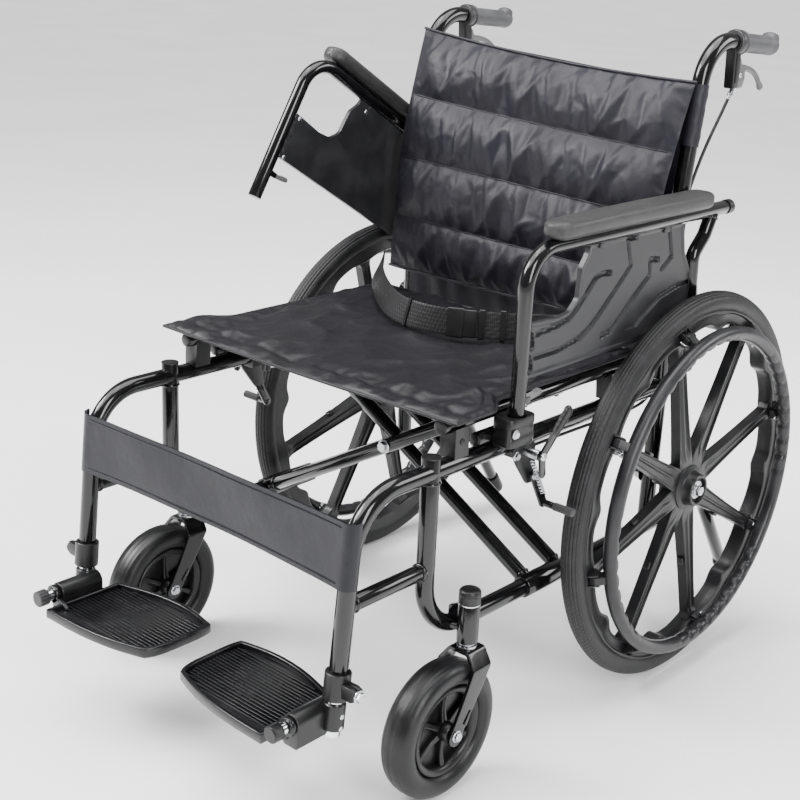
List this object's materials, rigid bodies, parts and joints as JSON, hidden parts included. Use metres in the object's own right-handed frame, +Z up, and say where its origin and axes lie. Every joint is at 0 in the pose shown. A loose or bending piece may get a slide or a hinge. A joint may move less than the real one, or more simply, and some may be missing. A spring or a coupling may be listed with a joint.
{
  "type": "manual wheelchair",
  "caption": "Folding self-propelled wheelchair with spoked rear wheels and handrims, swivel casters, flip-up armrests, padded sling seat and back, and sliding flip-up footrests.",
  "frame": {"origin": "middle of the chair's box, on the ground", "axes": "+Z up, +X towards the user's left, +Y towards the back of the chair; the user looks along -Y"},
  "size_m": [0.726, 1.095, 0.9762],
  "materials": {
    "frame_paint": "gloss black paint on steel tube",
    "black_plastic": "black moulded plastic",
    "bright_steel": "bright zinc",
    "chrome": "chrome plate",
    "wheel_plastic": "satin moulded plastic",
    "handrim_plastic": "satin moulded plastic with finger ribs",
    "tyre_rubber": "treaded rubber",
    "caster_rubber": "solid rubber",
    "pad_skin": "grained moulded skin",
    "panel_plastic": "embossed dark plastic",
    "light_plastic": "light grey plastic",
    "footplate_plastic": "ribbed black plastic",
    "grip_rubber": "grey moulded grip",
    "cable_sheath": "black cable sheath",
    "upholstery": "dark woven nylon over padding",
    "strap_vinyl": "dark coated fabric",
    "webbing": "black webbing"
  },
  "bodies": {
    "left_frame": {"lower_tube_left": "frame_paint", "upper_tube_left": "frame_paint", "cane_left": "frame_paint", "frame_fittings_left": "frame_paint", "armrest_socket_left": "black_plastic", "rear_axle_left": "bright_steel", "grip_left": "grip_rubber", "brake_perch_left": "black_plastic", "brake_cable_left": "cable_sheath", "wheel_lock_bracket_left": "frame_paint", "backrest": "upholstery", "calf_strap": "strap_vinyl"},
    "brace_a": {"brace_a": "frame_paint", "seat": "upholstery", "lap_belt": "webbing"},
    "brace_b": {"brace_b": "frame_paint"},
    "right_frame": {"lower_tube_right": "frame_paint", "upper_tube_right": "frame_paint", "cane_right": "frame_paint", "frame_fittings_right": "frame_paint", "armrest_socket_right": "black_plastic", "rear_axle_right": "bright_steel", "grip_right": "grip_rubber", "brake_perch_right": "black_plastic", "brake_cable_right": "cable_sheath", "wheel_lock_bracket_right": "frame_paint"},
    "rear_wheel_left": {"rear_wheel_left": "wheel_plastic", "rear_tyre_left": "tyre_rubber", "handrim_left": "handrim_plastic", "wheel_bearings_left": "bright_steel"},
    "caster_fork_left": {"caster_fork_left": "frame_paint"},
    "caster_wheel_left": {"caster_hub_left": "wheel_plastic", "caster_tyre_left": "caster_rubber"},
    "armrest_left": {"armrest_frame_left": "frame_paint", "armrest_pad_left": "pad_skin", "side_panel_left": "panel_plastic"},
    "armrest_latch_left": {"armrest_latch_left": "light_plastic"},
    "footrest_left": {"footrest_tube_left": "chrome", "hinge_housing_left": "black_plastic"},
    "footplate_left": {"footplate_left": "footplate_plastic"},
    "wheel_lock_lever_left": {"wheel_lock_lever_left": "panel_plastic"},
    "wheel_lock_shoe_left": {"wheel_lock_shoe_left": "frame_paint"},
    "brake_lever_left": {"brake_lever_left": "light_plastic"},
    "rear_wheel_right": {"rear_wheel_right": "wheel_plastic", "rear_tyre_right": "tyre_rubber", "handrim_right": "handrim_plastic", "wheel_bearings_right": "bright_steel"},
    "caster_fork_right": {"caster_fork_right": "frame_paint"},
    "caster_wheel_right": {"caster_hub_right": "wheel_plastic", "caster_tyre_right": "caster_rubber"},
    "armrest_right": {"armrest_frame_right": "frame_paint", "armrest_pad_right": "pad_skin", "side_panel_right": "panel_plastic"},
    "armrest_latch_right": {"armrest_latch_right": "light_plastic"},
    "footrest_right": {"footrest_tube_right": "chrome", "hinge_housing_right": "black_plastic"},
    "footplate_right": {"footplate_right": "footplate_plastic"},
    "wheel_lock_lever_right": {"wheel_lock_lever_right": "panel_plastic"},
    "wheel_lock_shoe_right": {"wheel_lock_shoe_right": "frame_paint"},
    "brake_lever_right": {"brake_lever_right": "light_plastic"}
  },
  "joints": [
    {"name": "fold", "type": "hinge", "parent": "left_frame", "child": "brace_a", "pos_m": [0.256, -0.0225, 0.219], "axis": [0, 1, 0], "range_deg": [0, 40], "deforming": ["seat", "lap_belt", "backrest", "calf_strap"]},
    {"name": "brace_cross", "type": "hinge", "parent": "brace_a", "child": "brace_b", "pos_m": [0, -0.0225, 0.36427], "axis": [0, 1, 0], "range_deg": [-81, 1]},
    {"name": "right_foot_hinge", "type": "hinge", "parent": "brace_b", "child": "right_frame", "pos_m": [-0.256, -0.0485, 0.219], "axis": [0, 1, 0], "range_deg": [-1, 41]},
    {"name": "rear_wheel_left_spin", "type": "hinge", "parent": "left_frame", "child": "rear_wheel_left", "pos_m": [0.315, 0.2425, 0.305], "axis": [1, 0, 0], "continuous": true},
    {"name": "caster_left_swivel", "type": "hinge", "parent": "left_frame", "child": "caster_fork_left", "pos_m": [0.288, -0.2375, 0.24], "axis": [0, 0, 1], "continuous": true},
    {"name": "caster_left_roll", "type": "hinge", "parent": "caster_fork_left", "child": "caster_wheel_left", "pos_m": [0.288, -0.2875, 0.097], "axis": [1, 0, 0], "continuous": true},
    {"name": "armrest_left_flip", "type": "hinge", "parent": "left_frame", "child": "armrest_left", "pos_m": [0.283, 0.2625, 0.49], "axis": [-1, 0, 0], "range_deg": [0, 95]},
    {"name": "armrest_latch_left_lift", "type": "hinge", "parent": "armrest_left", "child": "armrest_latch_left", "pos_m": [0.283, -0.1425, 0.524], "axis": [1, 0, 0], "range_deg": [0, 25], "stiffness_Nm_per_rad": 0.05, "springref_deg": -17.19},
    {"name": "footrest_left_slide", "type": "slide", "parent": "left_frame", "child": "footrest_left", "axis": [0, -0.0948, -0.9955], "range_m": [0, 0.06]},
    {"name": "footplate_left_flip", "type": "hinge", "parent": "footrest_left", "child": "footplate_left", "pos_m": [0.24, -0.5275, 0.178], "axis": [0, 1, 0], "range_deg": [-0.5, 90.5]},
    {"name": "wheel_lock_left_lever", "type": "hinge", "parent": "left_frame", "child": "wheel_lock_lever_left", "pos_m": [0.303, -0.1225, 0.444], "axis": [1, 0, 0], "range_deg": [0, 60]},
    {"name": "wheel_lock_left_shoe", "type": "hinge", "parent": "left_frame", "child": "wheel_lock_shoe_left", "pos_m": [0.278, -0.1025, 0.405], "axis": [1, 0, 0], "range_deg": [-0.5, 15.5]},
    {"name": "brake_lever_left_squeeze", "type": "hinge", "parent": "left_frame", "child": "brake_lever_left", "pos_m": [0.256, 0.3625, 0.912], "axis": [1, 0, 0], "range_deg": [0, 17], "stiffness_Nm_per_rad": 1, "springref_deg": -11.46},
    {"name": "rear_wheel_right_spin", "type": "hinge", "parent": "right_frame", "child": "rear_wheel_right", "pos_m": [-0.315, 0.2425, 0.305], "axis": [1, 0, 0], "continuous": true},
    {"name": "caster_right_swivel", "type": "hinge", "parent": "right_frame", "child": "caster_fork_right", "pos_m": [-0.288, -0.2375, 0.24], "axis": [0, 0, 1], "continuous": true},
    {"name": "caster_right_roll", "type": "hinge", "parent": "caster_fork_right", "child": "caster_wheel_right", "pos_m": [-0.288, -0.2875, 0.097], "axis": [1, 0, 0], "continuous": true},
    {"name": "armrest_right_flip", "type": "hinge", "parent": "right_frame", "child": "armrest_right", "pos_m": [-0.283, 0.2625, 0.49], "axis": [-1, 0, 0], "range_deg": [-30.7, 64.3]},
    {"name": "armrest_latch_right_lift", "type": "hinge", "parent": "armrest_right", "child": "armrest_latch_right", "pos_m": [-0.283, -0.06838, 0.72601], "axis": [1, 0, 0], "range_deg": [0, 25], "stiffness_Nm_per_rad": 0.05, "springref_deg": -17.19},
    {"name": "footrest_right_slide", "type": "slide", "parent": "right_frame", "child": "footrest_right", "axis": [0, -0.0948, -0.9955], "range_m": [0, 0.06]},
    {"name": "footplate_right_flip", "type": "hinge", "parent": "footrest_right", "child": "footplate_right", "pos_m": [-0.24, -0.5275, 0.178], "axis": [0, -1, 0], "range_deg": [-0.5, 90.5]},
    {"name": "wheel_lock_right_lever", "type": "hinge", "parent": "right_frame", "child": "wheel_lock_lever_right", "pos_m": [-0.303, -0.1225, 0.444], "axis": [1, 0, 0], "range_deg": [0, 60]},
    {"name": "wheel_lock_right_shoe", "type": "hinge", "parent": "right_frame", "child": "wheel_lock_shoe_right", "pos_m": [-0.278, -0.1025, 0.405], "axis": [1, 0, 0], "range_deg": [-0.5, 15.5]},
    {"name": "brake_lever_right_squeeze", "type": "hinge", "parent": "right_frame", "child": "brake_lever_right", "pos_m": [-0.256, 0.3625, 0.912], "axis": [1, 0, 0], "range_deg": [0, 17], "stiffness_Nm_per_rad": 1, "springref_deg": -11.46}
  ],
  "couplings": [
    {"joint": "brace_cross", "follows": "fold", "ratio": -2},
    {"joint": "right_foot_hinge", "follows": "fold", "ratio": 1},
    {"joint": "footplate_left_flip", "follows": "fold", "ratio": 2.25},
    {"joint": "wheel_lock_left_shoe", "follows": "wheel_lock_left_lever", "ratio": 0.25},
    {"joint": "footplate_right_flip", "follows": "fold", "ratio": 2.25},
    {"joint": "wheel_lock_right_shoe", "follows": "wheel_lock_right_lever", "ratio": 0.25}
  ]
}
